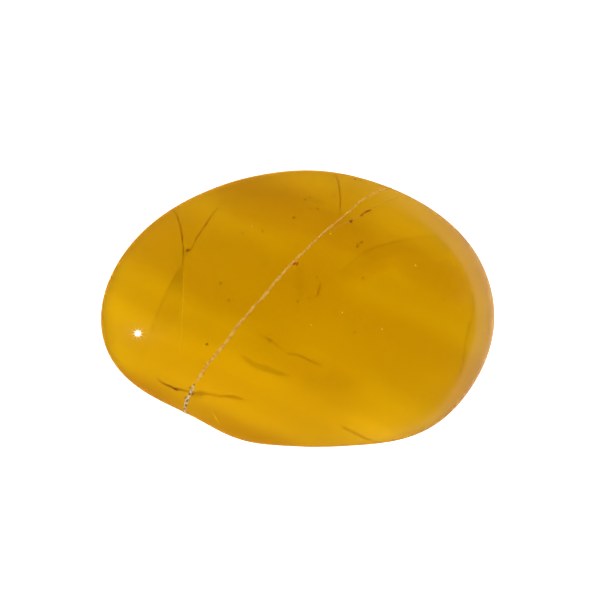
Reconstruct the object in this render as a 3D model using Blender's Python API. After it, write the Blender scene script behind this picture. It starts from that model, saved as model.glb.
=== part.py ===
"""Golden sapphire pebble, worn smooth and polished, in one piece.

The stone lies on its worn base, with its crown up. Metres, +Z up, and the origin is under the
middle of its plan outline, on the surface that it rests on. +X runs along its length, towards
the blunt end with the steep shoulder, and +Y across it, away from the hollow flank.
"""

import math

import bmesh
import bpy
import numpy as np
from mathutils import Matrix, Vector, noise

# Driving dimensions: how far the girdle, the stone's widest level, reaches from its middle before
# its edge wore round, every 15 degrees anticlockwise from +X. The hollow flank is the short reach
# from 225 to 255 degrees.
GIRDLE_REACH = (
    0.01303, 0.01245, 0.01154, 0.01039, 0.00973, 0.00923,
    0.00912, 0.00909, 0.00952, 0.01014, 0.01124, 0.01221,
    0.01306, 0.01277, 0.01141, 0.00992, 0.00953, 0.00915,
    0.00911, 0.00934, 0.01027, 0.01147, 0.01243, 0.01287,
)
HALF_LENGTH = 0.01300  # of the plain oval that the girdle turns into near the top and bottom
HALF_WIDTH = 0.00925
OUTLINE_FADE = 4  # how soon it does so: the power of a direction's level part
CROWN_HEIGHT = 0.0040  # from the girdle up to the top
BASE_DEPTH = 0.0108  # from the girdle down, before the base wore flat

# The crown and the base are caps cut from egg shapes. The share of an egg's half height that its
# middle lies beyond the girdle says how lens-like its cap is: at 0 the cap's edge stands upright.
CROWN_LENS = 0.80
BASE_LENS = 0.0
GIRDLE_ROUNDING = 0.03  # how soon each cap turns into its upright wall, as a share of the reach
GIRDLE_SHARPNESS = 60  # of the edge where the two caps meet
GIRDLE_ALLOWANCE = 1.02  # on the reach of both caps, for what their soft edge takes off

# The steep shoulder round the blunt end, a cone: how far its face tilts from straight up, the
# azimuth in its middle, how quickly it leaves the stone to both sides of that, and how broad it
# stays before it does. There the crown's edge stands upright, so that the shoulder cuts deep
# into it, and BLUNTNESS says how narrow that part of the edge is.
SHOULDER_TILT = math.radians(55)
SHOULDER_AZIMUTH = math.radians(2)
SHOULDER_SPREAD = 1.1
SHOULDER_BREADTH = 2
SHOULDER_SHARPNESS = 34
BLUNTNESS = 6

# Worn faces, each a plane that cuts the body with a soft edge: the direction it faces, as
# degrees anticlockwise from +X and degrees from straight up, and its distance from the middle.
WORN_FACES = (
    ("crown, towards the pointed end", 165, 16, 0.00500),
    ("flank above the hollow", 236, 40, 0.00720),
    ("underside, blunt end", 345, 174, 0.00535),
    ("underside, pointed end", 178, 173, 0.00540),
    ("base", 0, 180, 0.00500),
)
EDGE_SHARPNESS = 20  # of the worn faces' edges

REST_TRIM = 0.00004  # worn off the lowest bulge of the base, which leaves the flat it rests on
UNDULATION = ((0.0070, 0.00006), (0.0032, 0.00002))  # wavelength and height of the polish's waves
NOISE_ORIGIN = Vector((3.1, 7.4, 1.9))

BALL_SUBDIVISIONS = 5  # of the icosphere that the stone is drawn from: 5120 triangles
GIRDLE_CROWDING = 0.45  # how far apart its rows of corners are at the girdle, where 1 is even
GIRDLE_DROP = 0.05  # how far its middle row is turned down, to where the edge is widest
SMOOTH_ANGLE = math.radians(50)
SMALLEST_SHARE = 1e-3  # of a direction that hardly meets a face, which keeps its reach finite

STONE_COLOUR = (0.61, 0.30, 0.010, 1.0)
STONE_ROUGHNESS = 0.05
STONE_IOR = 1.77
STONE_TRANSMISSION = 0.8


def clear_scene():
    """Removes every object that the file opened with."""
    for thing in list(bpy.data.objects):
        bpy.data.objects.remove(thing, do_unlink=True)


def outline_reach(azimuth):
    """The girdle's reach at each azimuth: the smooth closed wave through GIRDLE_REACH."""
    waves = np.fft.rfft(GIRDLE_REACH) / len(GIRDLE_REACH)
    reach = np.full_like(azimuth, waves[0].real)
    for turns, wave in enumerate(waves[1:-1], start=1):
        reach += 2 * (wave.real * np.cos(turns * azimuth) - wave.imag * np.sin(turns * azimuth))
    return reach


def oval_reach(azimuth):
    """The reach of the plain oval at each azimuth."""
    return 1 / np.hypot(np.cos(azimuth) / HALF_LENGTH, np.sin(azimuth) / HALF_WIDTH)


def girdle_reach(across, azimuth):
    """The girdle's reach: the outline near the girdle, and the plain oval near top and bottom."""
    oval = oval_reach(azimuth)
    return oval + (outline_reach(azimuth) - oval) * across**OUTLINE_FADE


def cap_reach(across, level, girdle, height, lens):
    """How far a cap, with an upright wall past the girdle, reaches along each unit vector."""
    level = (level + np.hypot(level, GIRDLE_ROUNDING)) / 2
    half_height = height / (1 - lens)
    half_width = girdle / np.sqrt(1 - lens**2)
    square = (across / half_width) ** 2 + (level / half_height) ** 2
    half_linear = lens * level / half_height
    return (np.sqrt(half_linear**2 + square * (1 - lens**2)) - half_linear) / square


def shoulder_reach(across, level, girdle, azimuth):
    """How far the steep shoulder round the blunt end lets the stone reach."""
    aside = (1 - np.cos(azimuth - SHOULDER_AZIMUTH)) ** SHOULDER_BREADTH
    distance = girdle * math.sin(SHOULDER_TILT) * (1 + SHOULDER_SPREAD * aside)
    towards = across * math.sin(SHOULDER_TILT) + level * math.cos(SHOULDER_TILT)
    return distance / np.clip(towards, SMALLEST_SHARE, None)


def soft_least(reaches, sharpness):
    """The least of the reaches, with soft edges where two are alike."""
    return sum(reach**-sharpness for reach in reaches) ** (-1 / sharpness)


def body_reach(ways):
    """How far the stone reaches along each unit vector, before its faces wore flat."""
    across = np.clip(np.hypot(ways[:, 0], ways[:, 1]), SMALLEST_SHARE, None)
    azimuth = np.arctan2(ways[:, 1], ways[:, 0])
    level = ways[:, 2]
    girdle = girdle_reach(across, azimuth)
    soft_girdle = girdle * GIRDLE_ALLOWANCE
    towards_blunt = (1 + np.cos(azimuth - SHOULDER_AZIMUTH)) / 2
    crown_lens = CROWN_LENS * (1 - towards_blunt**BLUNTNESS * across**2)
    crown = cap_reach(across, level, soft_girdle, CROWN_HEIGHT, crown_lens)
    base = cap_reach(across, -level, soft_girdle, BASE_DEPTH, BASE_LENS)
    caps = soft_least((crown, base), GIRDLE_SHARPNESS)
    shoulder = shoulder_reach(across, level, girdle, azimuth)
    return soft_least((caps, shoulder), SHOULDER_SHARPNESS)


def facing(azimuth_degrees, tilt_degrees):
    """The unit vector at that azimuth, tilted that far from straight up."""
    azimuth, tilt = math.radians(azimuth_degrees), math.radians(tilt_degrees)
    return np.array(
        (math.sin(tilt) * math.cos(azimuth), math.sin(tilt) * math.sin(azimuth), math.cos(tilt))
    )


def worn_reach(ways):
    """How far the stone reaches along each unit vector, with its worn faces and soft edges."""
    total = body_reach(ways) ** -EDGE_SHARPNESS
    for _, azimuth, tilt, distance in WORN_FACES:
        towards = np.clip(ways @ facing(azimuth, tilt), 0, None)
        total += (towards / distance) ** EDGE_SHARPNESS
    return total ** (-1 / EDGE_SHARPNESS)


def undulation(ways):
    """The height of the waves that wear and polish left on the surface, at each unit vector."""
    heights = np.zeros(len(ways))
    for wavelength, height in UNDULATION:
        scale = HALF_WIDTH / wavelength
        heights += [height * noise.noise(Vector(way) * scale + NOISE_ORIGIN) for way in ways]
    return heights


def crowded(ways):
    """The unit vectors moved towards the girdle, where the stone turns most sharply."""
    level = ways[:, 2] * (GIRDLE_CROWDING + (1 - GIRDLE_CROWDING) * ways[:, 2] ** 2)
    level -= GIRDLE_DROP * (1 - ways[:, 2] ** 2)
    across = np.hypot(ways[:, 0], ways[:, 1])
    widening = np.sqrt(1 - level**2) / np.clip(across, SMALLEST_SHARE, None)
    return np.column_stack((ways[:, :2] * widening[:, None], level))


def stone_points(ways):
    """The stone's surface along each unit vector from its middle, moved so that it stands on z = 0."""
    points = ways * (worn_reach(ways) + undulation(ways))[:, None]
    rest_level = points[:, 2].min() + REST_TRIM
    points[:, 2] = np.maximum(points[:, 2], rest_level) - rest_level
    middle = (points[:, :2].min(0) + points[:, :2].max(0)) / 2
    points[:, :2] -= middle
    return points


def sapphire():
    """The see-through golden crystal."""
    material = bpy.data.materials.new("golden_sapphire")
    material.use_nodes = True
    shader = material.node_tree.nodes["Principled BSDF"]
    shader.inputs["Base Color"].default_value = STONE_COLOUR
    shader.inputs["Roughness"].default_value = STONE_ROUGHNESS
    shader.inputs["Metallic"].default_value = 0.0
    shader.inputs["IOR"].default_value = STONE_IOR
    shader.inputs["Transmission Weight"].default_value = STONE_TRANSMISSION
    return material


def build_stone(collection):
    """The stone: an icosphere whose corners are moved out to the stone's surface."""
    ball = bmesh.new()
    bmesh.ops.create_icosphere(
        ball, subdivisions=BALL_SUBDIVISIONS, radius=1.0, matrix=Matrix.Identity(4)
    )
    places = stone_points(crowded(np.array([corner.co.normalized() for corner in ball.verts])))
    for corner, place in zip(ball.verts, places):
        corner.co = place
    mesh = bpy.data.meshes.new("stone")
    ball.to_mesh(mesh)
    ball.free()
    mesh.materials.append(sapphire())
    mesh.shade_smooth()
    mesh.set_sharp_from_angle(angle=SMOOTH_ANGLE)
    stone = bpy.data.objects.new("stone", mesh)
    collection.objects.link(stone)
    return stone


def main():
    """Builds the stone in a collection of its own."""
    clear_scene()
    collection = bpy.data.collections.new("sapphire_pebble")
    bpy.context.scene.collection.children.link(collection)
    build_stone(collection)


main()
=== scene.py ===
"""Looks of the golden sapphire pebble: its polished see-through crystal, the filled cracks in
its crown, and the stained fractures, films and grains inside it, on a plain pale table.

Metres, +Z up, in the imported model's frame: +X runs along the stone towards its blunt end, and
+Y across it, away from its hollow flank. Places on the stone are given in millimetres of its
plan, as the camera over it sees them, and what lies in it hangs from the surface over it.
"""

import logging
import math
from dataclasses import dataclass
from enum import Enum

import bmesh
import bpy
import numpy as np
from mathutils import Matrix, Vector, noise
from mathutils.bvhtree import BVHTree


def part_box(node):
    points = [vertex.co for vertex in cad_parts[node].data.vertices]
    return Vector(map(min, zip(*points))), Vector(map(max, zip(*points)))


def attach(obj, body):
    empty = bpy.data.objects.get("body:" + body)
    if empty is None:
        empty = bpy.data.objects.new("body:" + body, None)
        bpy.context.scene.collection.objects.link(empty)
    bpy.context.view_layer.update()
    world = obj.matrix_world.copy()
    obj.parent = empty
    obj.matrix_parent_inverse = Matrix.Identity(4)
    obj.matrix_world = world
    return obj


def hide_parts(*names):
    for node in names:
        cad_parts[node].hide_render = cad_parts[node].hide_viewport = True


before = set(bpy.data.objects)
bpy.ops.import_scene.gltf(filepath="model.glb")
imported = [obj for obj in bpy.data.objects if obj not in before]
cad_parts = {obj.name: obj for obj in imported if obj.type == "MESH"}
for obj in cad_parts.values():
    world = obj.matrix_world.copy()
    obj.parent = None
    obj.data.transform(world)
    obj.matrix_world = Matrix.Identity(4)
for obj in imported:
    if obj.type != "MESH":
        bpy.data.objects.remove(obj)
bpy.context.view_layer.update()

log = logging.getLogger("sapphire_pebble")

MM = 0.001
STONE_NODE = "stone"
STONE_BODY = "root"
SAPPHIRE_IOR = 1.77
PLAN_LEVEL = 0.0035  # the level that the plan is measured at, near the stone's widest part

# The sRGB curve: a straight line up to the knee, and a power of the share past it.
SRGB_KNEE = 0.04045
SRGB_SLOPE = 12.92
SRGB_OFFSET = 0.055
SRGB_POWER = 2.4

# Several sockets of the Mix node share a name, so they are given by their place.
MIX_FACTOR = 0
MIX_NUMBERS = (2, 3)
MIX_COLOURS = (6, 7)
MIXED_NUMBER = 0
MIXED_COLOUR = 2
WAVE_PERIOD = 0.314  # metres from band to band of the Wave texture at scale 1

PlanPoint = tuple[float, float]
SunkPoint = tuple[float, float, float]  # a place of the plan and a depth under it, millimetres


def linear_colour(hex_code: str) -> tuple[float, float, float, float]:
    """Turns an sRGB colour into the linear values that Blender's sockets take.

    Args:
        hex_code: The colour as #RRGGBB.

    Returns:
        Red, green, blue and an alpha of 1.
    """
    shares = (int(hex_code[start : start + 2], 16) / 255 for start in (1, 3, 5))
    red, green, blue = (
        share / SRGB_SLOPE
        if share <= SRGB_KNEE
        else ((share + SRGB_OFFSET) / (1 + SRGB_OFFSET)) ** SRGB_POWER
        for share in shares
    )
    return red, green, blue, 1.0


def add_node(
    tree: bpy.types.NodeTree,
    kind: str,
    settings: dict[str, object] | None = None,
    inputs: dict[str | int, object] | None = None,
) -> bpy.types.Node:
    """Adds a node, sets its settings, and sets or links its inputs.

    Args:
        tree: The node tree that it goes into.
        kind: The node's type name.
        settings: Its properties, by name.
        inputs: Its sockets, by name or place, each with a value or the socket that feeds it.

    Returns:
        The new node.
    """
    node = tree.nodes.new(kind)
    for name, value in (settings or {}).items():
        setattr(node, name, value)
    for name, value in (inputs or {}).items():
        if isinstance(value, bpy.types.NodeSocket):
            tree.links.new(value, node.inputs[name])
        else:
            node.inputs[name].default_value = value
    return node


def new_material(name: str) -> tuple[bpy.types.Material, bpy.types.NodeTree, bpy.types.Node]:
    """Makes a material with an empty node tree and an output.

    Args:
        name: The material's name.

    Returns:
        The material, its node tree and its output node.
    """
    material = bpy.data.materials.new(name)
    material.use_nodes = True
    tree = material.node_tree
    tree.nodes.clear()
    return material, tree, add_node(tree, "ShaderNodeOutputMaterial")


@dataclass(frozen=True)
class ColourZone:
    """A soft zone of the crystal's colour: some are its own colour, as uneven growth and iron leave,
    and some are painted light and shade.
    """

    name: str
    colour: str
    middle: PlanPoint  # millimetres of the plan
    reach: PlanPoint  # millimetres along and across the zone
    turn: float  # degrees anticlockwise from +X
    fade: float  # the share of its reach that it fades out over


@dataclass(frozen=True)
class PolishedSapphire:
    """Natural yellow corundum, tumbled and polished.

    Iron gives it its honey colour, deeper in some growth zones than in others, and its colour zones
    also paint light into its thin left end, lower edge and top rim, and shade along its lower rims.
    Fine silk in the crystal scatters a little of the light, so it glows evenly and hides the floor
    beneath it, while the polish over it stays glassy and takes a sharp highlight.
    """

    body_colour: str = "#C99E00"
    zones: tuple[ColourZone, ...] = (
        # Some zones are painted light and shade. The painted_glow zones paint the light that gathers
        # in the thin left end and along the lower edge. The top_rim zone paints light on the thin top
        # rim. The painted_shade zones paint shade along the lower rims. The darker middle zones are
        # partly painted shade where the stone is thickest.
        ColourZone("left_light", "#D6A900", (-12.9, -1.8), (7.9, 7.0), -10, 0.9),
        ColourZone("upper_left", "#C19000", (-8.9, 4.6), (5.0, 4.0), 30, 1.0),
        ColourZone("low_light", "#D3A600", (-0.9, -6.2), (14.3, 4.3), -13, 0.8),
        ColourZone("low_left", "#D7A800", (-5.7, -4.1), (7.7, 3.3), -15, 0.8),
        ColourZone("low_spot", "#E6B800", (5.1, -7.6), (4.1, 2.5), 0, 1.0),
        ColourZone("middle_dark", "#BC8F00", (-4.0, 2.0), (5.9, 3.7), -18, 0.55),
        ColourZone("crack_dark", "#BA8B00", (0.9, 1.4), (4.3, 4.3), 30, 0.9),
        ColourZone("right_dark", "#BF9100", (6.1, -1.8), (8.3, 3.1), -22, 0.7),
        ColourZone("cloud", "#C19200", (1.6, -4.1), (4.1, 1.5), -20, 0.8),
        ColourZone("right_light", "#C39800", (6.9, 0.6), (5.7, 1.6), -26, 0.8),
        ColourZone("top_dark", "#B38100", (-2.4, 7.1), (6.1, 2.3), -25, 0.6),
        ColourZone("top_tip", "#B58400", (2.8, 4.8), (4.4, 1.7), -25, 0.7),
        ColourZone("arc_left", "#BA8900", (4.9, 2.8), (2.7, 1.0), 24, 0.9),
        ColourZone("rosy_cloud", "#C1942C", (9.9, 1.6), (2.3, 1.3), -45, 0.7),
        ColourZone("arc_right", "#BA8A00", (8.2, 2.4), (4.9, 1.7), -32, 0.7),
        ColourZone("upper_right", "#D1A600", (7.1, 6.0), (6.3, 2.4), -38, 0.9),
        ColourZone("top_rim", "#D6AB00", (0.8, 8.6), (6.0, 1.5), 0, 1.0),
        ColourZone("right_edge", "#C48F00", (10.9, -5.4), (3.3, 2.7), 60, 1.0),
        ColourZone("low_middle", "#C09300", (-1.5, -1.8), (3.1, 1.6), -20, 0.9),
        ColourZone("flank_edge", "#B17000", (-9.9, -5.6), (5.3, 1.6), -28, 1.0),
        ColourZone("hollow_edge", "#BF8800", (-4.7, -7.7), (4.3, 1.3), -28, 0.9),
        ColourZone("arc_outside", "#D2A900", (8.1, 5.4), (3.5, 1.0), -28, 0.9),
        ColourZone("bottom_edge", "#B67C00", (-3.1, -8.8), (6.7, 1.9), -12, 1.0),
    )
    band_spacing: float = 2.6  # millimetres between growth bands, seen from above
    band_turn: float = math.radians(-25)  # from +X to the way that the bands run
    band_share: float = 0.35  # of the band colour, where a band is deepest
    band_colour: str = "#B88800"
    band_bend: float = 2.5  # how much the bands bend, as the Wave texture's distortion
    band_detail: tuple[float, float] = (1.0, 0.6)  # of the bends: how many sizes, and their scale
    clarity: float = 0.9  # the share of the light that goes through without being scattered
    haze: float = 0.3  # roughness of what goes through, from the silk
    polish: float = 0.03  # roughness of the polished skin
    polish_ior: float = 1.3  # matched to how faintly the room shows in the skin
    inner_mirror: str = "#000000"  # the tint of what the crystal mirrors under its polish
    absorbed_per_metre: float = 20.0  # of the light's colour, as the absorption's density
    deep_colour: str = "#F4EE89"  # of light that has gone a long way through the crystal

    def zone_share(self, tree: bpy.types.NodeTree, zone: ColourZone) -> bpy.types.NodeSocket:
        """Adds the nodes that find how far a point is into a colour zone.

        Args:
            tree: The material's node tree.
            zone: The zone.

        Returns:
            The share of the zone's colour.
        """
        place = add_node(tree, "ShaderNodeTexCoord")
        mapped = add_node(
            tree,
            "ShaderNodeMapping",
            {"vector_type": "TEXTURE"},
            {
                "Vector": place.outputs["Object"],
                "Location": (zone.middle[0] * MM, zone.middle[1] * MM, 0.0),
                "Rotation": (0.0, 0.0, math.radians(zone.turn)),
                "Scale": (zone.reach[0] * MM, zone.reach[1] * MM, 1.0),
            },
        )
        ball = add_node(
            tree,
            "ShaderNodeTexGradient",
            {"gradient_type": "SPHERICAL"},
            {"Vector": mapped.outputs["Vector"]},
        )
        soft = add_node(
            tree,
            "ShaderNodeMapRange",
            {"interpolation_type": "SMOOTHERSTEP"},
            {"Value": ball.outputs["Fac"], "From Max": zone.fade},
        )
        return soft.outputs["Result"]

    def band_factor(self, tree: bpy.types.NodeTree) -> bpy.types.NodeSocket:
        """Adds the nodes of the faint growth bands that run slantwise through the crystal.

        Args:
            tree: The material's node tree.

        Returns:
            The share of the band colour.
        """
        place = add_node(tree, "ShaderNodeTexCoord")
        mapped = add_node(
            tree,
            "ShaderNodeMapping",
            {"vector_type": "TEXTURE"},
            {"Vector": place.outputs["Object"], "Rotation": (0.0, 0.0, self.band_turn)},
        )
        waves = add_node(
            tree,
            "ShaderNodeTexWave",
            {"wave_type": "BANDS", "bands_direction": "Y"},
            {
                "Vector": mapped.outputs["Vector"],
                "Scale": WAVE_PERIOD / (self.band_spacing * MM),
                "Distortion": self.band_bend,
                "Detail": self.band_detail[0],
                "Detail Scale": self.band_detail[1],
            },
        )
        share = add_node(
            tree,
            "ShaderNodeMapRange",
            {"interpolation_type": "SMOOTHSTEP"},
            {"Value": waves.outputs["Fac"], "To Max": self.band_share},
        )
        return share.outputs["Result"]

    def build(self) -> bpy.types.Material:
        """Makes the crystal's material.

        Returns:
            The material.
        """
        material, tree, output = new_material("polished_yellow_sapphire")
        layers = [(self.zone_share(tree, zone), zone.colour) for zone in self.zones]
        layers.append((self.band_factor(tree), self.band_colour))
        colour: bpy.types.NodeSocket | tuple[float, ...] = linear_colour(self.body_colour)
        for share, layer_colour in layers:
            mixed = add_node(
                tree,
                "ShaderNodeMix",
                {"data_type": "RGBA"},
                {
                    MIX_FACTOR: share,
                    MIX_COLOURS[0]: colour,
                    MIX_COLOURS[1]: linear_colour(layer_colour),
                },
            )
            colour = mixed.outputs[MIXED_COLOUR]
        shader = add_node(
            tree,
            "ShaderNodeBsdfPrincipled",
            {},
            {
                "Base Color": colour,
                "Roughness": self.haze,
                "IOR": SAPPHIRE_IOR,
                "Specular Tint": linear_colour(self.inner_mirror),
                "Transmission Weight": self.clarity,
                "Coat Weight": 1.0,
                "Coat Roughness": self.polish,
                "Coat IOR": self.polish_ior,
            },
        )
        depth = add_node(
            tree,
            "ShaderNodeVolumeAbsorption",
            {},
            {"Color": linear_colour(self.deep_colour), "Density": self.absorbed_per_metre},
        )
        tree.links.new(shader.outputs["BSDF"], output.inputs["Surface"])
        tree.links.new(depth.outputs["Volume"], output.inputs["Volume"])
        return material


@dataclass(frozen=True)
class MattMineral:
    """A dull mineral in the stone, with grains of a second colour through it. It also paints the glint
    of a fracture as a bright matt line.
    """

    name: str
    colour: str
    grain_colour: str
    grain: float  # millimetres across a grain
    solidity: float  # how much of what lies behind one wall of it is hidden
    roughness: float = 0.8
    grain_detail: float = 3.0  # how many sizes of grain there are
    grain_edge: tuple[float, float] = (0.4, 0.62)  # the noise at which a grain starts and is full

    def build(self) -> bpy.types.Material:
        """Makes the mineral's material.

        Returns:
            The material.
        """
        material, tree, output = new_material(self.name)
        place = add_node(tree, "ShaderNodeTexCoord")
        grains = add_node(
            tree,
            "ShaderNodeTexNoise",
            {},
            {
                "Vector": place.outputs["Object"],
                "Scale": 1 / (self.grain * MM),
                "Detail": self.grain_detail,
            },
        )
        picked = add_node(
            tree,
            "ShaderNodeMapRange",
            {"interpolation_type": "SMOOTHSTEP"},
            {
                "Value": grains.outputs["Fac"],
                "From Min": self.grain_edge[0],
                "From Max": self.grain_edge[1],
            },
        )
        colour = add_node(
            tree,
            "ShaderNodeMix",
            {"data_type": "RGBA"},
            {
                MIX_FACTOR: picked.outputs["Result"],
                MIX_COLOURS[0]: linear_colour(self.colour),
                MIX_COLOURS[1]: linear_colour(self.grain_colour),
            },
        )
        shader = add_node(
            tree,
            "ShaderNodeBsdfPrincipled",
            {},
            {
                "Base Color": colour.outputs[MIXED_COLOUR],
                "Roughness": self.roughness,
                "Specular IOR Level": 0.0,
                "Alpha": self.solidity,
            },
        )
        tree.links.new(shader.outputs["BSDF"], output.inputs["Surface"])
        return material


class Stain(Enum):
    """What fills a fracture or makes up a speck, or the painted glint of a fracture."""

    # Polishing clay packed into the open crack: chalky, pinkish tan against the honey stone.
    CLAY = MattMineral("polishing_clay", "#ECBE5E", "#DC9C3C", 0.22, 0.6)
    # A trace of the same clay, where the crack has almost closed: a pinkish breath.
    CLAY_TRACE = MattMineral("trace_of_polishing_clay", "#F0B05C", "#DCA040", 0.14, 0.16)
    # The same clay where dirt got into it, at the crack's open end: grey cream, with dark grains.
    DIRTY_CLAY = MattMineral("dirty_polishing_clay", "#DCBC8C", "#80602C", 0.16, 0.85)
    # Iron oxide that seeped into a fracture: dark rusty brown.
    RUST = MattMineral("iron_oxide_stain", "#EC4C1C", "#CC380C", 0.20, 0.60)
    # Rutile: tiny grains, almost black brown.
    RUTILE = MattMineral("rutile_grain", "#8A3C0C", "#6A2808", 0.10, 0.75)
    # Limonite, thinner than the rust, so the stone's colour comes through: brown amber.
    LIMONITE = MattMineral("limonite_stain", "#E87820", "#C86018", 0.30, 0.21)
    # A healed fracture: a film of tiny bubbles, only a little darker than the crystal.
    HEALED = MattMineral("healed_fracture", "#D07818", "#B06410", 0.40, 0.14)
    # A faint film between two growth sectors, which hardly darkens the crystal.
    FILM = MattMineral("growth_film", "#A0701C", "#8A6414", 0.60, 0.035)
    # Trapped crystals of a pale mineral that the polish laid open: small bright grains.
    PALE_GRAIN = MattMineral("pale_grain", "#FFC840", "#F8B830", 0.10, 0.7)
    # A painted highlight: the mirror of a fracture that just reaches the skin, painted as a bright
    # yellow matt hairline.
    GLINT = MattMineral("painted_fracture_glint", "#FFD020", "#F8C418", 0.30, 0.6)
    # Hematite: a spot of vivid orange red.
    HEMATITE = MattMineral("hematite_spot", "#D86C20", "#B85018", 0.06, 0.8)


@dataclass
class Pebble:
    """The stone itself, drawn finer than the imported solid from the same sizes, in metres."""

    girdle_reach: tuple[float, ...] = (
        0.01303, 0.01245, 0.01154, 0.01039, 0.00973, 0.00923,
        0.00912, 0.00909, 0.00952, 0.01014, 0.01124, 0.01221,
        0.01306, 0.01277, 0.01141, 0.00992, 0.00953, 0.00915,
        0.00911, 0.00934, 0.01027, 0.01147, 0.01243, 0.01287,
    )  # every 15 degrees anticlockwise from +X, before the edge wore round
    half_length: float = 0.01300  # of the plain oval that the outline turns into, up and down
    half_width: float = 0.00925
    outline_fade: int = 4  # how soon it does so
    crown_height: float = 0.0040  # from the girdle up to the top
    base_depth: float = 0.0108  # from the girdle down, before the base wore flat
    crown_lens: float = 0.80  # how lens-like a cap is: at 0 its edge stands upright
    base_lens: float = 0.0
    girdle_rounding: float = 0.03  # how soon each cap turns into its upright wall
    girdle_sharpness: int = 60  # of the edge where the two caps meet
    girdle_allowance: float = 1.02  # for what that soft edge takes off
    shoulder_tilt: float = math.radians(55)  # of the steep shoulder, from straight up
    shoulder_azimuth: float = math.radians(2)  # of its middle
    shoulder_spread: float = 1.1  # how quickly it leaves the stone to both sides of that
    shoulder_breadth: int = 2  # how broad it stays before it does
    shoulder_sharpness: int = 34
    bluntness: int = 6  # how narrow the part of the crown's edge is that stands upright there
    worn_faces: tuple[tuple[float, float, float], ...] = (
        (165, 16, 0.00500),
        (236, 40, 0.00720),
        (345, 174, 0.00535),
        (178, 173, 0.00540),
        (0, 180, 0.00500),
    )  # azimuth, degrees from straight up, and distance from the middle
    edge_sharpness: int = 20
    rest_trim: float = 0.00004  # worn off the lowest bulge, which leaves the flat it rests on
    undulation: tuple[tuple[float, float], ...] = (
        (0.0070, 0.00006),
        (0.0032, 0.00002),
    )  # wavelength and height of the waves that the polish left
    noise_origin: tuple[float, float, float] = (3.1, 7.4, 1.9)
    girdle_crowding: float = 0.45  # of the rows of corners towards the girdle, where 1 is even
    girdle_drop: float = 0.05  # how far its middle row is turned down
    smallest_share: float = 1e-3  # of a direction that hardly meets a face
    subdivisions: int = 7  # of the icosphere, which gives 81,920 triangles
    finish: PolishedSapphire = PolishedSapphire()

    def outline(self, azimuth: np.ndarray) -> np.ndarray:
        """Finds the girdle's reach, on the smooth closed wave through its given values.

        Args:
            azimuth: Angles from +X, in radians.

        Returns:
            The reach at each angle.
        """
        waves = np.fft.rfft(self.girdle_reach) / len(self.girdle_reach)
        reach = np.full_like(azimuth, waves[0].real)
        for turns, wave in enumerate(waves[1:-1], start=1):
            reach += 2 * (wave.real * np.cos(turns * azimuth) - wave.imag * np.sin(turns * azimuth))
        return reach

    def girdle(self, across: np.ndarray, azimuth: np.ndarray) -> np.ndarray:
        """Finds the girdle's reach, which turns into a plain oval near the top and bottom.

        Args:
            across: The level part of each direction.
            azimuth: Its angle from +X, in radians.

        Returns:
            The reach for each direction.
        """
        oval = 1 / np.hypot(np.cos(azimuth) / self.half_length, np.sin(azimuth) / self.half_width)
        return oval + (self.outline(azimuth) - oval) * across**self.outline_fade

    def cap(
        self,
        across: np.ndarray,
        level: np.ndarray,
        girdle: np.ndarray,
        height: float,
        lens: np.ndarray | float,
    ) -> np.ndarray:
        """Finds how far a cap cut from an egg shape, with an upright wall past it, reaches.

        Args:
            across: The level part of each direction.
            level: Its part towards the cap's top.
            girdle: The girdle's reach for it.
            height: The cap's height over the girdle.
            lens: How lens-like the cap is, from 0 to under 1.

        Returns:
            The reach for each direction.
        """
        level = (level + np.hypot(level, self.girdle_rounding)) / 2
        half_height = height / (1 - lens)
        half_width = girdle / np.sqrt(1 - lens**2)
        square = (across / half_width) ** 2 + (level / half_height) ** 2
        half_linear = lens * level / half_height
        return (np.sqrt(half_linear**2 + square * (1 - lens**2)) - half_linear) / square

    def soft_least(self, reaches: tuple[np.ndarray, ...], sharpness: int) -> np.ndarray:
        """Finds the least of several reaches, with soft edges where two are alike."""
        return sum(reach**-sharpness for reach in reaches) ** (-1 / sharpness)

    def body_reach(self, ways: np.ndarray) -> np.ndarray:
        """Finds the stone's reach before its faces wore flat.

        Args:
            ways: Unit vectors, one a row.

        Returns:
            The reach along each.
        """
        across = np.clip(np.hypot(ways[:, 0], ways[:, 1]), self.smallest_share, None)
        azimuth = np.arctan2(ways[:, 1], ways[:, 0])
        level = ways[:, 2]
        girdle = self.girdle(across, azimuth)
        soft_girdle = girdle * self.girdle_allowance
        from_blunt = azimuth - self.shoulder_azimuth
        towards_blunt = (1 + np.cos(from_blunt)) / 2
        crown_lens = self.crown_lens * (1 - towards_blunt**self.bluntness * across**2)
        crown = self.cap(across, level, soft_girdle, self.crown_height, crown_lens)
        base = self.cap(across, -level, soft_girdle, self.base_depth, self.base_lens)
        caps = self.soft_least((crown, base), self.girdle_sharpness)
        distance = girdle * math.sin(self.shoulder_tilt)
        aside = (1 - np.cos(from_blunt)) ** self.shoulder_breadth
        distance = distance * (1 + self.shoulder_spread * aside)
        towards = across * math.sin(self.shoulder_tilt) + level * math.cos(self.shoulder_tilt)
        shoulder = distance / np.clip(towards, self.smallest_share, None)
        return self.soft_least((caps, shoulder), self.shoulder_sharpness)

    def reach(self, ways: np.ndarray) -> np.ndarray:
        """Finds the stone's reach, with its worn faces and the waves of its polish.

        Args:
            ways: Unit vectors, one a row.

        Returns:
            The reach along each.
        """
        total = self.body_reach(ways) ** -self.edge_sharpness
        for azimuth_degrees, tilt_degrees, distance in self.worn_faces:
            azimuth, tilt = math.radians(azimuth_degrees), math.radians(tilt_degrees)
            level = math.sin(tilt)
            facing = np.array((level * math.cos(azimuth), level * math.sin(azimuth), math.cos(tilt)))
            total += (np.clip(ways @ facing, 0, None) / distance) ** self.edge_sharpness
        reach = total ** (-1 / self.edge_sharpness)
        origin = Vector(self.noise_origin)
        for wavelength, height in self.undulation:
            scale = self.half_width / wavelength
            reach += [height * noise.noise(Vector(way) * scale + origin) for way in ways]
        return reach

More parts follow.
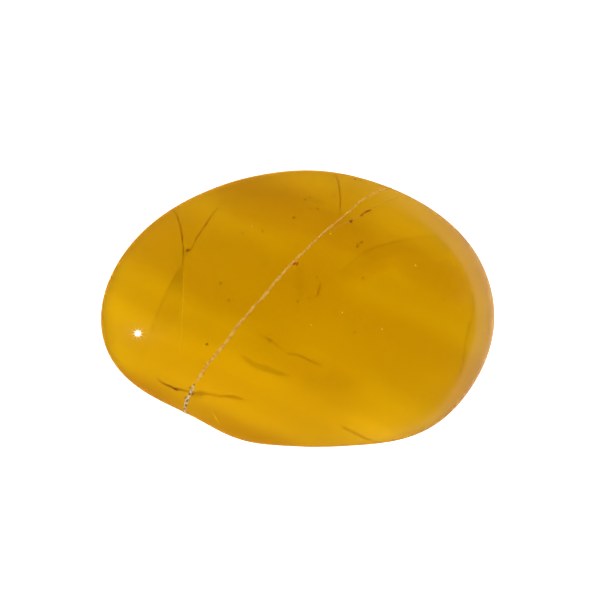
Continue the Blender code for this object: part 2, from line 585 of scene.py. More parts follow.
    def crowded(self, ways: np.ndarray) -> np.ndarray:
        """Moves directions towards the girdle, where the stone turns most sharply.

        Args:
            ways: Unit vectors, one a row.

        Returns:
            The moved unit vectors.
        """
        level = ways[:, 2] * (self.girdle_crowding + (1 - self.girdle_crowding) * ways[:, 2] ** 2)
        level -= self.girdle_drop * (1 - ways[:, 2] ** 2)
        across = np.clip(np.hypot(ways[:, 0], ways[:, 1]), self.smallest_share, None)
        widening = np.sqrt(1 - level**2) / across
        return np.column_stack((ways[:, :2] * widening[:, None], level))

    def surface(self, ways: np.ndarray) -> np.ndarray:
        """Finds the points of the surface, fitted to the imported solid's box.

        Args:
            ways: Unit vectors, one a row.

        Returns:
            The point along each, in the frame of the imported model.
        """
        points = ways * self.reach(ways)[:, None]
        rest_level = points[:, 2].min() + self.rest_trim
        points[:, 2] = np.maximum(points[:, 2], rest_level)
        lowest, highest = (np.array(corner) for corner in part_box(STONE_NODE))
        scale = (highest - lowest) / (points.max(0) - points.min(0))
        return lowest + (points - points.min(0)) * scale

    def build(self) -> bpy.types.Object:
        """Makes the stone's mesh with its material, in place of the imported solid.

        Returns:
            The stone.
        """
        ball = bmesh.new()
        bmesh.ops.create_icosphere(
            ball, subdivisions=self.subdivisions, radius=1.0, matrix=Matrix.Identity(4)
        )
        ways = self.crowded(np.array([corner.co.normalized() for corner in ball.verts]))
        for corner, place in zip(ball.verts, self.surface(ways)):
            corner.co = place
        mesh = finished_mesh("polished_pebble", ball)
        mesh.materials.append(self.finish.build())
        stone = bpy.data.objects.new("polished_pebble", mesh)
        bpy.context.scene.collection.objects.link(stone)
        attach(stone, STONE_BODY)
        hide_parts(STONE_NODE)
        return stone


class Skin:
    """The finished stone's surface, for finding what the camera sees on it and in it."""

    def __init__(self, stone: bpy.types.Object, eye: Vector) -> None:
        """Keeps the surface of the finished stone, and where it is seen from."""
        self.tree = BVHTree.FromObject(stone, bpy.context.evaluated_depsgraph_get())
        self.eye = eye

    def sight(self, place: PlanPoint) -> Vector:
        """Finds the way that the camera looks to see a place, as a unit vector."""
        return (Vector((place[0] * MM, place[1] * MM, PLAN_LEVEL)) - self.eye).normalized()

    def over(self, place: PlanPoint) -> tuple[Vector, Vector]:
        """Finds the surface that the camera sees at a place.

        Args:
            place: The place, in millimetres of the plan.

        Returns:
            The point on the surface and its normal.
        """
        point, normal, _, _ = self.tree.ray_cast(self.eye, self.sight(place))
        if point is None:
            edge = Vector((place[0] * MM, place[1] * MM, PLAN_LEVEL))
            point, normal, _, _ = self.tree.find_nearest(edge)
        return point, normal

    def under(self, place: PlanPoint, depth: float) -> Vector:
        """Finds the point that shows at a place of the plan from inside the stone.

        Args:
            place: The place, in millimetres of the plan.
            depth: Its depth under the surface, in metres, along the bent line of sight.

        Returns:
            The point.
        """
        point, normal = self.over(place)
        sight = self.sight(place)
        steep = -sight.dot(normal)
        bend = math.sqrt(1 - (1 - steep**2) / SAPPHIRE_IOR**2)
        return point + (sight / SAPPHIRE_IOR + normal * (steep / SAPPHIRE_IOR - bend)) * depth


def smooth_path(points: tuple[PlanPoint, ...], spacing: float) -> np.ndarray:
    """Draws a smooth line, a Catmull-Rom curve, through points.

    Args:
        points: The points.
        spacing: The distance between the line's points, in the same unit.

    Returns:
        The line's points, one a row.
    """
    rows = np.array(points, float)
    rows = np.vstack((2 * rows[0] - rows[1], rows, 2 * rows[-1] - rows[-2]))
    line = []
    for before, start, end, after in zip(rows, rows[1:], rows[2:], rows[3:]):
        steps = max(2, math.ceil(np.linalg.norm(end - start) / spacing))
        for share in np.arange(steps) / steps:
            line.append(
                start
                + 0.5 * share * (end - before)
                + share**2 * (before - 2.5 * start + 2 * end - 0.5 * after)
                + share**3 * (1.5 * (start - end) + 0.5 * (after - before))
            )
    return np.array([*line, rows[-2]])


def finished_mesh(name: str, form: bmesh.types.BMesh, smooth: bool = True) -> bpy.types.Mesh:
    """Turns a finished form into a mesh and frees it.

    Args:
        name: The mesh's name.
        form: The form.
        smooth: Whether its faces are shaded smooth.

    Returns:
        The mesh.
    """
    mesh = bpy.data.meshes.new(name)
    form.to_mesh(mesh)
    form.free()
    if smooth:
        mesh.shade_smooth()
    return mesh


def swept_mesh(
    name: str,
    path: list[Vector],
    outward: list[Vector],
    half_widths: np.ndarray,
    half_depths: np.ndarray,
    sides: int = 8,
) -> bpy.types.Mesh:
    """Sweeps an oval section along a line and closes both ends to a point.

    Args:
        name: The mesh's name.
        path: The line's points.
        outward: At each point, the way that the section's depth runs.
        half_widths: Half the section's width at each point.
        half_depths: Half its depth there.
        sides: The corners of the section.

    Returns:
        The closed mesh.
    """
    form = bmesh.new()
    rings = []
    last = len(path) - 1
    for place in range(1, last):
        along = (path[place + 1] - path[place - 1]).normalized()
        across = along.cross(outward[place]).normalized()
        deep = across.cross(along).normalized()
        ring = []
        for turn in np.arange(sides) * (2 * math.pi / sides):
            offset = across * (half_widths[place] * math.cos(turn))
            offset += deep * (half_depths[place] * math.sin(turn))
            ring.append(form.verts.new(path[place] + offset))
        rings.append(ring)
    for ring, following in zip(rings, rings[1:]):
        for side in range(sides):
            after = (side + 1) % sides
            form.faces.new((ring[side], ring[after], following[after], following[side]))
    start, end = form.verts.new(path[0]), form.verts.new(path[last])
    for side in range(sides):
        after = (side + 1) % sides
        form.faces.new((start, rings[0][after], rings[0][side]))
        form.faces.new((end, rings[-1][side], rings[-1][after]))
    bmesh.ops.recalc_face_normals(form, faces=form.faces)
    return finished_mesh(name, form)


def place_in_stone(name: str, mesh: bpy.types.Mesh, stain: Stain) -> bpy.types.Object:
    """Makes a piece of a mesh that belongs to the stone and moves with it.

    Args:
        name: The piece's name.
        mesh: Its mesh.
        stain: What it is made of.

    Returns:
        The piece.
    """
    known = bpy.data.materials.get(stain.value.name)
    mesh.materials.append(known or stain.value.build())
    piece = bpy.data.objects.new(name, mesh)
    bpy.context.scene.collection.objects.link(piece)
    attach(piece, STONE_BODY)
    return piece


@dataclass(frozen=True)
class Fracture:
    """A stained fracture inside the stone, which shows from above as a thin line."""

    name: str
    stain: Stain
    path: tuple[PlanPoint, ...]  # millimetres of the plan
    width: float  # millimetres, where it is widest
    depth: float = 0.25  # millimetres under the surface
    height: float = 0.20  # millimetres that the fracture goes down
    unevenness: float = 0.5  # of its width along its length
    spacing: float = 0.06  # millimetres between the points that it is drawn from
    changes: float = 2.2  # how often its width changes, to a millimetre
    swing: float = 1.6  # brings the noise that it changes by to about -1 to 1
    narrowest: float = 0.25  # of its width
    tip: float = 0.02  # of its length at each end, over which it keeps one width

    def build(self, skin: Skin) -> bpy.types.Object:
        """Makes the fracture under the stone's surface.

        Args:
            skin: The stone's surface.

        Returns:
            The fracture.
        """
        line = smooth_path(self.path, self.spacing)
        centre = (self.depth + self.height / 2) * MM
        path = [skin.under(tuple(point), centre) for point in line]
        upward = [Vector((0, 0, 1))] * len(path)
        share = np.linspace(0, 1, len(path))
        taper = np.sqrt(np.sin(math.pi * np.clip(share, self.tip, 1 - self.tip)))
        uneven = [
            1 + self.unevenness * self.swing * noise.noise(Vector((*point, 0)) * self.changes)
            for point in line
        ]
        half_widths = self.width * MM / 2 * taper * np.clip(uneven, self.narrowest, None)
        half_depths = self.height * MM / 2 * taper
        mesh = swept_mesh(self.name, path, upward, half_widths, half_depths)
        return place_in_stone(self.name, mesh, self.stain)


@dataclass(frozen=True)
class FilledCrack:
    """A crack that reaches the skin, as the beaded line of what packs it, or as its glint painted in a
    bright matt colour.
    """

    name: str
    stain: Stain
    path: tuple[PlanPoint, ...]  # millimetres of the plan
    widths: tuple[float, float]  # millimetres, at the start and at the end of the path
    flanks: tuple[bool, bool] = (False, False)  # whether it goes on down the flank past each end
    proud: float = 0.035  # millimetres that the filling stands over the polish
    sunk: float = 0.03  # millimetres that it goes down
    bead: float = 0.30  # millimetres from bead to bead
    bead_share: float = 0.45  # of the width, that the beads add and take
    bead_pace: float = 1.3  # how far the noise is read on from bead to bead
    bead_swing: float = 1.5  # brings the noise to about -1 to 1
    bead_row: float = 0.7  # which row of the noise is read
    spacing: float = 0.05  # millimetres between the points that it is drawn from
    taper_steps: int = 8  # of the spacing, that each end narrows over
    tip: float = 0.15  # of the width, that each end narrows to
    end_steps: int = 6  # of the spacing, that give the crack's direction at each end
    flank_reach: float = 3.0  # millimetres that it goes on down a flank
    outside: float = 2.0  # millimetres out from the edge, where the flank is looked at from

    def flank_line(self, skin: Skin, start: Vector, onward: Vector) -> list[Vector]:
        """Follows the crack's plane from the edge of the plan down the flank.

        Args:
            skin: The stone's surface.
            start: The point at the edge.
            onward: The crack's level direction there, out of the stone.

        Returns:
            Points down the flank.
        """
        points = []
        steps = round(self.flank_reach / self.spacing)
        for step in range(1, steps):
            lower = start - Vector((0, 0, step * self.spacing * MM))
            outside = lower + onward * (self.outside * MM)
            point, _, _, _ = skin.tree.ray_cast(outside, -onward)
            if point is None:
                break
            points.append(point)
        return points

    def build(self, skin: Skin) -> bpy.types.Object:
        """Makes the crack's filling, or its painted glint, over the crown and down the flanks that it
        reaches.

        Args:
            skin: The stone's surface.

        Returns:
            The filling, or the painted glint.
        """
        line = smooth_path(self.path, self.spacing)
        crown = [skin.over(tuple(point))[0] for point in line]
        inner = self.end_steps
        back_way = (crown[0] - crown[inner]).to_2d().normalized().to_3d()
        front_way = (crown[-1] - crown[-1 - inner]).to_2d().normalized().to_3d()
        back = self.flank_line(skin, crown[0], back_way) if self.flanks[0] else []
        front = self.flank_line(skin, crown[-1], front_way) if self.flanks[1] else []
        path = [*reversed(back), *crown, *front]
        normals = [skin.tree.find_nearest(point)[1] for point in path]
        share = np.clip((np.arange(len(path)) - len(back)) / len(crown), 0, 1)
        width = self.widths[0] + (self.widths[1] - self.widths[0]) * share
        travelled = np.arange(len(path)) * self.spacing
        beads = [
            noise.noise(Vector((distance / self.bead * self.bead_pace, self.bead_row, 0)))
            * self.bead_swing
            for distance in travelled
        ]
        ends = np.minimum(np.arange(len(path)), np.arange(len(path))[::-1])
        taper = np.clip(ends / self.taper_steps, self.tip, 1)
        half_widths = width * MM / 2 * (1 + self.bead_share * np.array(beads)) * taper
        half_depths = np.full(len(path), (self.proud + self.sunk) * MM / 2)
        lift = (self.proud - self.sunk) * MM / 2
        path = [point + normal * lift for point, normal in zip(path, normals)]
        mesh = swept_mesh(self.name, path, normals, half_widths, half_depths)
        return place_in_stone(self.name, mesh, self.stain)


@dataclass(frozen=True)
class Veil:
    """A thin flat film inside the stone, between two parts of the crystal."""

    name: str
    stain: Stain
    outlines: tuple[tuple[SunkPoint, ...], ...]  # one for each sheet
    thickness: float = 0.04  # millimetres

    def build(self, skin: Skin) -> bpy.types.Object:
        """Makes the film's sheets, as one piece.

        Args:
            skin: The stone's surface.

        Returns:
            The film.
        """
        form = bmesh.new()
        for outline in self.outlines:
            upper = [form.verts.new(skin.under((x, y), depth * MM)) for x, y, depth in outline]
            drop = Vector((0, 0, -self.thickness * MM))
            lower = [form.verts.new(corner.co + drop) for corner in upper]
            form.faces.new(upper)
            form.faces.new(lower)
            for corner in range(len(upper)):
                after = (corner + 1) % len(upper)
                form.faces.new((upper[corner], upper[after], lower[after], lower[corner]))
        bmesh.ops.recalc_face_normals(form, faces=form.faces)
        return place_in_stone(self.name, finished_mesh(self.name, form, smooth=False), self.stain)


@dataclass(frozen=True)
class Specks:
    """Small grains of one kind, trapped in the stone."""

    name: str
    stain: Stain
    grains: tuple[tuple[float, float, float, float], ...]  # plan x, y, radius, depth, millimetres
    subdivisions: int = 2  # of the icosphere that each grain is drawn from
    lumpiness: float = 0.5  # of its radius, that a grain swells and shrinks by

    def build(self, skin: Skin) -> bpy.types.Object:
        """Makes the grains under the stone's surface, as one piece.

        Args:
            skin: The stone's surface.

        Returns:
            The grains.
        """
        form = bmesh.new()
        for x, y, radius, depth in self.grains:
            middle = skin.under((x, y), depth * MM)
            size = radius * MM
            ball = bmesh.ops.create_icosphere(form, subdivisions=self.subdivisions, radius=size)
            for corner in ball["verts"]:
                swell = 1 + self.lumpiness * noise.noise(corner.co / size + middle / MM)
                corner.co = middle + corner.co * swell
        return place_in_stone(self.name, finished_mesh(self.name, form), self.stain)


CRACKS = (
    FilledCrack("crack_clay", Stain.CLAY, (
        (5.89, 7.98), (5.47, 7.86), (5.05, 7.65), (4.55, 7.40), (4.05, 7.07), (3.72, 6.73),
        (3.29, 6.38), (2.72, 5.90), (2.22, 5.48), (1.72, 5.07), (1.05, 4.44), (0.55, 3.94),
        (-0.11, 3.31), (-0.45, 2.94), (-0.87, 2.51), (-1.53, 1.77), (-2.37, 0.70), (-2.87, 0.23),
        (-3.20, -0.19), (-3.61, -0.69), (-4.03, -1.14), (-4.37, -1.64), (-4.87, -2.35), (-5.28, -2.81),
        (-5.66, -3.31), (-6.03, -3.69), (-6.28, -4.10), (-6.61, -4.64), (-6.89, -4.98),
    ), (0.13, 0.22), flanks=(True, False)),
    FilledCrack("crack_dirty_clay", Stain.DIRTY_CLAY, (
        (-6.84, -4.91), (-6.96, -5.14), (-7.07, -5.40), (-7.24, -5.73), (-7.37, -6.02), (-7.49, -6.43),
        (-7.55, -6.77),
    ), (0.19, 0.22), flanks=(False, True)),
    FilledCrack("side_crack_clay", Stain.CLAY_TRACE, (
        (2.07, 4.93), (2.39, 5.27), (2.72, 5.48), (3.13, 5.69), (3.47, 5.83), (3.90, 6.09),
        (4.27, 6.33), (4.67, 6.62), (5.22, 6.86), (5.87, 7.13), (6.72, 7.40),
    ), (0.09, 0.06)),
    # Painted highlights: bright matt lines where fracture planes just under the skin mirror the light.
    FilledCrack("front_painted_glint", Stain.GLINT, (
        (-5.78, -6.77), (-5.61, -7.10), (-5.41, -7.43), (-5.20, -7.77),
    ), (0.10, 0.12), proud=0.02, sunk=0.02),
    FilledCrack("sector_painted_glint", Stain.GLINT, (
        (-7.61, 2.70), (-7.64, 1.57), (-7.68, 0.23), (-7.76, -1.77), (-7.83, -3.43),
    ), (0.03, 0.03), proud=0.01, sunk=0.02),
)
FRACTURES = (
    Fracture("rim_fracture_west", Stain.RUST, (
        (-8.50, 6.80), (-8.36, 6.62), (-8.11, 6.27), (-7.95, 5.86), (-7.83, 5.40), (-7.74, 4.81),
        (-7.67, 4.23), (-7.65, 3.73), (-7.69, 3.10), (-7.70, 2.70),
    ), 0.07, depth=0.12),
    Fracture("rim_fracture_east", Stain.RUST, (
        (-5.29, 6.73), (-5.57, 6.44), (-5.83, 6.11), (-5.99, 5.86), (-6.20, 5.53), (-6.57, 4.98),
        (-6.83, 4.61), (-6.99, 4.19), (-7.11, 4.00), (-7.37, 3.89), (-7.51, 3.85),
    ), 0.05, depth=0.12, unevenness=1.1),
    Fracture("rim_fracture_join", Stain.HEALED, (
        (-7.40, 3.87), (-7.49, 3.57), (-7.63, 3.17),
    ), 0.10),
    Fracture("back_fracture", Stain.RUST, (
        (2.35, 9.02), (2.63, 8.57), (2.73, 8.15), (2.80, 7.65), (2.82, 7.15), (2.80, 6.65),
        (2.79, 6.07),
    ), 0.055, depth=0.12),
    Fracture("side_crack_rust", Stain.RUST, (
        (4.20, 6.22), (4.45, 6.40), (4.68, 6.52), (4.95, 6.58),
    ), 0.12, depth=0.12),
    Fracture("low_fracture", Stain.LIMONITE, (
        (-9.40, -4.50), (-9.20, -4.85), (-8.87, -5.06), (-8.53, -5.19), (-8.20, -5.34), (-7.78, -5.41),
        (-7.37, -5.51), (-7.03, -5.60), (-6.53, -5.62), (-5.95, -5.69), (-5.20, -5.85), (-4.53, -5.85),
        (-4.00, -5.99), (-3.60, -6.07),
    ), 0.24, depth=0.5, height=0.3),
    Fracture("low_fracture_rust", Stain.RUST, (
        (-9.33, -4.62), (-9.20, -4.83), (-8.87, -5.04), (-8.53, -5.17), (-8.20, -5.34), (-7.78, -5.43),
        (-7.40, -5.53),
    ), 0.055, depth=0.15),
    Fracture("low_fracture_lobe", Stain.HEALED, (
        (-7.17, -5.67), (-6.87, -5.81), (-6.60, -5.83), (-6.27, -5.71),
    ), 0.42, depth=0.5, height=0.2),
    Fracture("low_fracture_end", Stain.HEALED, (
        (-4.80, -5.85), (-4.40, -5.90), (-4.00, -5.99), (-3.57, -6.09),
    ), 0.38, depth=0.4, height=0.2),
    Fracture("middle_lens", Stain.HEALED, (
        (-3.83, -3.03), (-3.45, -3.39), (-3.11, -3.64), (-2.70, -3.85), (-2.20, -3.99), (-1.70, -4.15),
        (-1.20, -4.34), (-0.47, -4.49),
    ), 0.40, depth=0.5, height=0.2, unevenness=0.2),
    Fracture("middle_streak", Stain.LIMONITE, (
        (-0.83, -2.99), (-0.28, -3.06), (0.00, -3.10), (0.39, -3.27), (0.89, -3.52), (1.60, -3.79),
    ), 0.15, depth=0.3, height=0.2),
    Fracture("streak_tail", Stain.HEALED, (
        (-2.84, -1.63), (-2.40, -1.82), (-1.84, -2.10), (-1.44, -2.43), (-0.84, -2.83),
    ), 0.11),
    Fracture("front_streak", Stain.LIMONITE, (
        (2.87, -7.85), (3.47, -8.14), (3.97, -8.39), (4.39, -8.60), (4.80, -8.77), (5.27, -8.87),
    ), 0.25, depth=0.15, height=0.2),
    Fracture("arc_line", Stain.LIMONITE, (
        (2.90, 2.50), (3.33, 2.83), (3.67, 3.17), (4.05, 3.50), (4.50, 3.80), (5.00, 4.02),
        (5.47, 4.19), (6.13, 4.37), (6.97, 4.57), (8.20, 4.77), (9.00, 4.84), (9.95, 4.88),
    ), 0.055),
    Fracture("sector_edge", Stain.LIMONITE, (
        (-7.80, 3.00), (-8.12, 2.30), (-8.50, 1.57), (-9.02, 0.45), (-9.52, -0.77), (-9.85, -1.75),
        (-10.08, -2.20),
    ), 0.045, depth=0.15, height=0.1),
    Fracture("inner_arc", Stain.LIMONITE, (
        (1.50, 1.78), (1.43, 1.37), (1.33, 1.02), (1.20, 0.68),
    ), 0.13),
    Fracture("blunt_arc", Stain.HEALED, (
        (11.64, 1.10), (11.71, 0.23), (11.57, -0.63), (11.40, -1.23), (11.26, -1.93), (11.13, -2.52),
        (11.00, -3.50), (10.80, -4.50), (10.39, -5.37),
    ), 0.15, depth=0.5),
    Fracture("back_squiggle", Stain.LIMONITE, (
        (1.03, 7.12), (1.33, 7.18), (1.60, 7.13), (1.73, 6.97), (1.67, 6.83),
    ), 0.10),
)
VEILS = (
    Veil("sector_film", Stain.FILM, (
        ((-7.68, 3.07, 0.2), (-7.65, 1.30, 0.2), (-8.00, 0.80, 0.6), (-8.87, 0.95, 0.2)),
        ((-7.68, 3.07, 0.3), (-7.65, 1.90, 0.3), (-8.10, 1.50, 0.6), (-8.55, 1.70, 0.3)),
        (
            (-7.68, 3.07, 0.25), (-7.65, 0.00, 0.3), (-8.60, -1.50, 1.5), (-9.93, -1.88, 0.3),
            (-9.60, -0.77, 0.2), (-9.10, 0.45, 0.2), (-8.60, 1.57, 0.2),
        ),
    )),
    Veil("arc_film", Stain.FILM, (
        (
            (2.47, 2.43, 0.4), (3.67, 3.17, 0.3), (4.53, 3.83, 0.3), (5.47, 4.23, 0.3),
            (6.20, 4.43, 0.3), (6.93, 4.57, 0.3), (8.20, 4.77, 0.3), (9.73, 4.83, 0.3),
            (10.27, 3.77, 0.9), (9.47, 3.63, 1.3), (8.47, 3.77, 1.5), (7.13, 3.77, 1.5),
            (6.00, 3.57, 1.5), (4.93, 3.10, 1.5), (4.00, 2.43, 1.5), (3.13, 1.90, 1.3),
        ),
    )),
    Veil("front_cloud", Stain.FILM, (
        (
            (1.87, -4.37, 0.6), (2.80, -4.23, 0.6), (3.60, -4.77, 0.6), (4.00, -5.30, 0.9),
            (3.07, -5.17, 1.2), (2.13, -4.90, 1.2),
        ),
    )),
    Veil("crack_cloud", Stain.FILM, (
        (
            (-2.40, 3.23, 0.4), (-2.07, 3.37, 0.4), (-1.80, 3.03, 0.4), (-2.13, 2.70, 0.4),
            (-2.47, 2.90, 0.4),
        ),
        (
            (-0.07, 2.83, 0.4), (0.33, 2.70, 0.4), (0.47, 1.23, 0.8), (0.07, 0.57, 0.8),
            (-0.27, 1.57, 0.6),
        ),
    )),
)
SPECKS = (
    Specks("pale_specks", Stain.PALE_GRAIN, (
        (7.83, 2.86, 0.07, 0), (9.33, 3.19, 0.05, 0), (2.93, -0.27, 0.06, 0), (5.59, -1.35, 0.06, 0),
        (0.89, -1.06, 0.06, 0), (-3.07, 5.50, 0.05, 0), (2.17, 4.97, 0.07, -0.01),
        (3.30, 6.39, 0.08, -0.02), (5.05, 7.67, 0.07, -0.02), (7.80, -5.89, 0.05, 0),
        (1.40, 4.77, 0.06, -0.02),
    )),
    Specks("dark_specks", Stain.RUTILE, (
        (4.33, 2.03, 0.055, 0.1), (-0.28, 6.07, 0.07, 0.1), (-2.37, 5.17, 0.05, 0.1),
        (-3.70, 5.03, 0.055, 0.1), (-4.20, 6.40, 0.05, 0.1), (-5.16, 1.70, 0.06, 0.2),
        (-0.03, 0.48, 0.05, 0.1), (0.72, 0.70, 0.04, 0.1), (1.26, 2.11, 0.045, 0.1),
        (-1.83, -1.69, 0.045, 0.1), (-6.07, -2.39, 0.07, 0.15), (-12.37, -2.23, 0.06, 0.1),
        (0.47, 7.27, 0.06, 0.1), (0.80, 7.39, 0.05, 0.1), (1.30, 6.66, 0.06, 0.1),
        (4.24, 4.42, 0.06, 0.1), (3.95, 4.12, 0.06, 0.1), (-4.60, 0.55, 0.05, 0.1),
        (3.76, -1.60, 0.05, 0.15), (3.47, 5.82, 0.07, 0.15), (-0.28, 3.01, 0.08, 0.1),
        (-7.21, -5.26, 0.07, 0.1), (-7.51, -5.94, 0.07, 0.1), (-7.04, -5.70, 0.06, 0.1),
        (-7.20, -0.77, 0.03, 0.1), (-2.80, -7.43, 0.03, 0.1), (3.80, 8.62, 0.06, 0.05),
        (4.20, 8.55, 0.05, 0.05),
    )),
    Specks("rust_specks", Stain.RUST, (
        (3.55, 5.84, 0.1, 0.3), (4.24, 6.23, 0.09, 0.3), (-7.39, 3.88, 0.1, 0.3),
        (-7.25, 3.86, 0.07, 0.3), (-8.17, -5.36, 0.12, 0.3), (-8.05, -5.42, 0.08, 0.3),
    )),
    Specks("faint_specks", Stain.HEALED, (
        (-8.74, -3.97, 0.12, 0.3), (4.00, 4.23, 0.14, 0.3), (2.39, 7.48, 0.1, 0.2),
        (2.13, 6.44, 0.1, 0.2), (0.80, 6.65, 0.1, 0.2), (-5.00, 7.17, 0.09, 0.2),
        (-6.37, -3.57, 0.08, 0.2), (-1.93, -2.13, 0.16, 0.3), (9.67, 0.53, 0.08, 0.2),
        (5.07, -6.43, 0.08, 0.2), (8.53, -2.17, 0.07, 0.2),
    )),
    Specks("hematite_spot", Stain.HEMATITE, (
        (-0.08, 2.98, 0.11, 0.03),
    )),
)


class Along(Enum):
    """What a ramp of the room's brightness runs along."""

    HEIGHT = "height"  # how far up a direction points, from -1 to 1
    SIDE = "side"  # how far it points to the room's bright side, from -1 to 1


@dataclass(frozen=True)
class Ramp:
    """How brightness changes between two directions in the room."""

    along: Along
    reach: tuple[float, float]  # where it starts and where it ends
    shares: tuple[float, float] = (0.0, 1.0)  # of the light, at both
    soft: bool = True


@dataclass(frozen=True)
class Studio:
    """A white table under soft light from all round, a small lamp, and the camera over it."""

    floor_size: float = 0.6
    floor_gap: float = 0.0001  # under the stone's flat base, so that the two don't share a plane
    floor_colour: str = "#F4F4F4"
    floor_roughness: float = 0.9
    floor_glow: float = 0.9  # its own light, which washes the stone's shadow out
    highlight: PlanPoint = (-10.71, -1.63)  # millimetres of the plan, where the lamp's image is
    lamp_distance: float = 0.40
    lamp_size: tuple[float, float] = (0.0084, 0.0060)  # its image in the curved skin is round
    lamp_power: float = 0.24
    star_points: int = 10
    star_turn: float = math.radians(8)
    star_threshold: float = 2.0  # the brightness past which a point throws rays
    star_steps: int = 2  # that the rays are drawn in
    star_fade: float = 0.75  # of a ray, kept at each step outwards
    star_falloff: float = 2.8  # how much sooner the rays end: the power of their brightness
    camera_place: tuple[float, float, float] = (0.00013, 0.00057, 0.1146)
    bright_side: float = math.radians(-5)  # azimuth of the room's bright wall, in the polish
    bright_wall: tuple[Ramp, ...] = (
        Ramp(Along.HEIGHT, (0.2, -0.05)),  # down past the horizon
        Ramp(Along.HEIGHT, (0.0, -0.4), (0.9, 0.42), soft=False),  # down to the wall's foot
        Ramp(Along.SIDE, (0.0, 0.8)),
    )
    golden_light: tuple[Ramp, ...] = (
        Ramp(Along.HEIGHT, (0.0, -1.0), (0.0, 1.25), soft=False),  # the table under the edge
        Ramp(Along.SIDE, (0.3, -0.7), (0.9, 2.0)),  # to the side across from the bright one
    )
    golden_colour: str = "#FFAD48"  # of the light that the stone throws on the table
    lens: float = 100.0  # millimetres
    sensor: float = 36.0  # millimetres
    crystal_bounces: int = 24  # of light through the stone and the grains in it
    mirror_bounces: int = 12
    mirror_blur: float = 0.5  # of what is mirrored inside the stone, against stray bright dots

    def build_floor(self) -> bpy.types.Object:
        """Makes the table.

        Returns:
            The table.
        """
        bpy.ops.mesh.primitive_plane_add(size=self.floor_size, location=(0, 0, -self.floor_gap))
        floor = bpy.context.object
        floor.name = "table"
        material, tree, output = new_material("matt_white_board")
        shader = add_node(
            tree,
            "ShaderNodeBsdfPrincipled",
            {},
            {
                "Base Color": linear_colour(self.floor_colour),
                "Roughness": self.floor_roughness,
                "Specular IOR Level": 0.0,
                "Emission Color": (1, 1, 1, 1),
                "Emission Strength": self.floor_glow,
            },
        )
        tree.links.new(shader.outputs["BSDF"], output.inputs["Surface"])
        floor.data.materials.append(material)
        floor.visible_glossy = False
        return floor

    def brightness(
        self,
        tree: bpy.types.NodeTree,
        ways: dict[Along, bpy.types.NodeSocket],
        ramps: tuple[Ramp, ...],
    ) -> bpy.types.NodeSocket:
        """Adds the nodes of a light that several ramps share out over the room.

        Args:
            tree: The world's node tree.
            ways: How far a direction points each way.
            ramps: The ramps.

        Returns:
            How bright the light is in that direction: the product of the ramps.
        """
        bright: bpy.types.NodeSocket | float = 1.0
        for ramp in ramps:
            share = add_node(
                tree,
                "ShaderNodeMapRange",
                {"interpolation_type": "SMOOTHSTEP" if ramp.soft else "LINEAR"},
                {
                    "Value": ways[ramp.along],
                    "From Min": ramp.reach[0],
                    "From Max": ramp.reach[1],
                    "To Min": ramp.shares[0],
                    "To Max": ramp.shares[1],
                },
            )
            product = add_node(
                tree,
                "ShaderNodeMath",
                {"operation": "MULTIPLY"},
                {0: bright, 1: share.outputs["Result"]},
            )
            bright = product.outputs["Value"]
        return bright

    def build_sky(self) -> bpy.types.World:
        """Makes the white room, bright all round. The polish mirrors only two things in it: a low
        bright wall past the stone's blunt end, and the golden light on the table under its edge.

        Returns:
            The world.
        """
        world = bpy.data.worlds.new("white_room")
        bpy.context.scene.world = world
        world.use_nodes = True
        world.cycles.sampling_method = "NONE"
        tree = world.node_tree
        tree.nodes.clear()
        way = add_node(tree, "ShaderNodeTexCoord").outputs["Generated"]
        parts = add_node(tree, "ShaderNodeSeparateXYZ", {}, {"Vector": way})
        side = (math.cos(self.bright_side), math.sin(self.bright_side), 0.0)
        facing = add_node(
            tree, "ShaderNodeVectorMath", {"operation": "DOT_PRODUCT"}, {0: way, 1: side}
        )
        ways = {Along.HEIGHT: parts.outputs["Z"], Along.SIDE: facing.outputs["Value"]}
        ray = add_node(tree, "ShaderNodeLightPath")
        in_mirror = add_node(
            tree,
            "ShaderNodeMath",
            {"operation": "MULTIPLY"},
            {0: ray.outputs["Is Reflection Ray"], 1: ray.outputs["Is Glossy Ray"]},
        )
        white_strength = add_node(
            tree,
            "ShaderNodeMix",
            {"data_type": "FLOAT"},
            {
                MIX_FACTOR: in_mirror.outputs["Value"],
                MIX_NUMBERS[0]: 1.0,
                MIX_NUMBERS[1]: self.brightness(tree, ways, self.bright_wall),
            },
        )
        gold_strength = add_node(
            tree,
            "ShaderNodeMath",
            {"operation": "MULTIPLY"},
            {
                0: in_mirror.outputs["Value"],
                1: self.brightness(tree, ways, self.golden_light),
            },
        )
        white = add_node(
            tree,
            "ShaderNodeBackground",
            {},
            {"Color": (1, 1, 1, 1), "Strength": white_strength.outputs[MIXED_NUMBER]},
        )
        gold = add_node(
            tree,
            "ShaderNodeBackground",
            {},
            {
                "Color": linear_colour(self.golden_colour),
                "Strength": gold_strength.outputs["Value"],
            },
        )
        light = add_node(
            tree,
            "ShaderNodeAddShader",
            {},
            {0: white.outputs["Background"], 1: gold.outputs["Background"]},
        )
        output = add_node(tree, "ShaderNodeOutputWorld")
        tree.links.new(light.outputs["Shader"], output.inputs["Surface"])
        return world

    def build_lamp(self, skin: Skin) -> bpy.types.Object:
        """Makes the small lamp whose image in the polish is the one sharp highlight.

        Args:
            skin: The stone's surface.

        Returns:
            The lamp.
        """
        point, normal = skin.over(self.highlight)
        sight = (Vector(self.camera_place) - point).normalized()
        towards = 2 * normal.dot(sight) * normal - sight
        light = bpy.data.lights.new("small_lamp", "AREA")
        light.shape = "ELLIPSE"
        light.size, light.size_y = self.lamp_size
        light.energy = self.lamp_power
        lamp = bpy.data.objects.new("small_lamp", light)
        bpy.context.scene.collection.objects.link(lamp)
        lamp.location = point + towards * self.lamp_distance
        lamp.rotation_euler = (-towards).to_track_quat("-Z", "Y").to_euler()
        return lamp

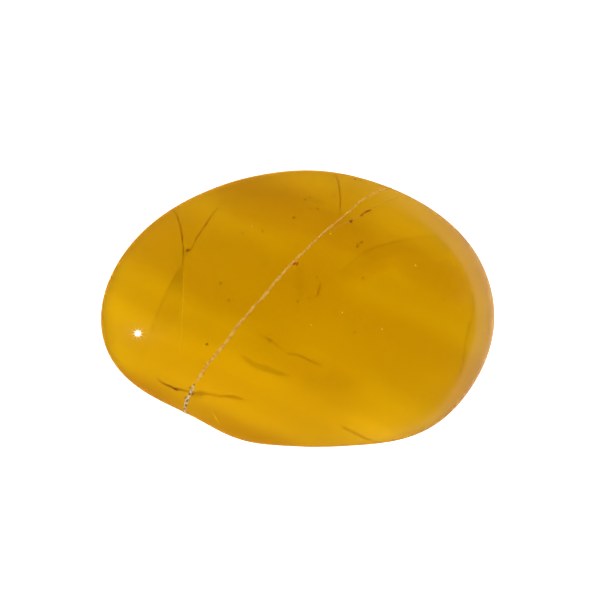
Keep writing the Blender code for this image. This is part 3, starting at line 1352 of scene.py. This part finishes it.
    def build_star(self) -> bpy.types.Node:
        """Draws the star that a camera's small aperture makes of the highlight.

        Returns:
            The glare node.
        """
        scene = bpy.context.scene
        scene.use_nodes = True
        tree = scene.node_tree
        tree.nodes.clear()
        picture = add_node(tree, "CompositorNodeRLayers")
        glare = add_node(
            tree,
            "CompositorNodeGlare",
            {"glare_type": "STREAKS", "quality": "HIGH"},
            {
                "Image": picture.outputs["Image"],
                "Threshold": self.star_threshold,
                "Streaks": self.star_points,
                "Streaks Angle": self.star_turn,
                "Iterations": self.star_steps,
                "Fade": self.star_fade,
                "Color Modulation": 0.0,
                "Strength": 1.0,
            },
        )
        short_rays = add_node(
            tree,
            "CompositorNodeGamma",
            {},
            {"Image": glare.outputs["Glare"], "Gamma": self.star_falloff},
        )
        starred = add_node(
            tree,
            "CompositorNodeMixRGB",
            {"blend_type": "ADD"},
            {0: 1.0, 1: picture.outputs["Image"], 2: short_rays.outputs["Image"]},
        )
        add_node(tree, "CompositorNodeComposite", {}, {"Image": starred.outputs["Image"]})
        return glare

    def build_camera(self) -> bpy.types.Object:
        """Makes the camera, which looks straight down on the stone.

        Returns:
            The camera.
        """
        optics = bpy.data.cameras.new("camera")
        optics.lens = self.lens
        optics.sensor_width = self.sensor
        camera = bpy.data.objects.new("camera", optics)
        bpy.context.scene.collection.objects.link(camera)
        camera.location = self.camera_place
        bpy.context.scene.camera = camera
        return camera

    def build(self) -> None:
        """Sets the stage round the stone."""
        self.build_floor()
        self.build_sky()
        self.build_camera()
        scene = bpy.context.scene
        scene.view_settings.view_transform = "Standard"
        scene.cycles.max_bounces = self.crystal_bounces
        scene.cycles.transmission_bounces = self.crystal_bounces
        scene.cycles.glossy_bounces = self.mirror_bounces
        scene.cycles.blur_glossy = self.mirror_blur


def main() -> None:
    """Builds the stage, the stone and what lies in it, in that order."""
    logging.basicConfig(level=logging.INFO, format="%(name)s: %(message)s")
    studio = Studio()
    studio.build()
    stone = Pebble().build()
    log.info("%s: %d faces", stone.name, len(stone.data.polygons))
    skin = Skin(stone, Vector(studio.camera_place))
    studio.build_lamp(skin)
    studio.build_star()
    for part in (*CRACKS, *FRACTURES, *VEILS, *SPECKS):
        piece = part.build(skin)
        log.info("%s: %d faces", piece.name, len(piece.data.polygons))


if __name__ == "__main__":
    main()
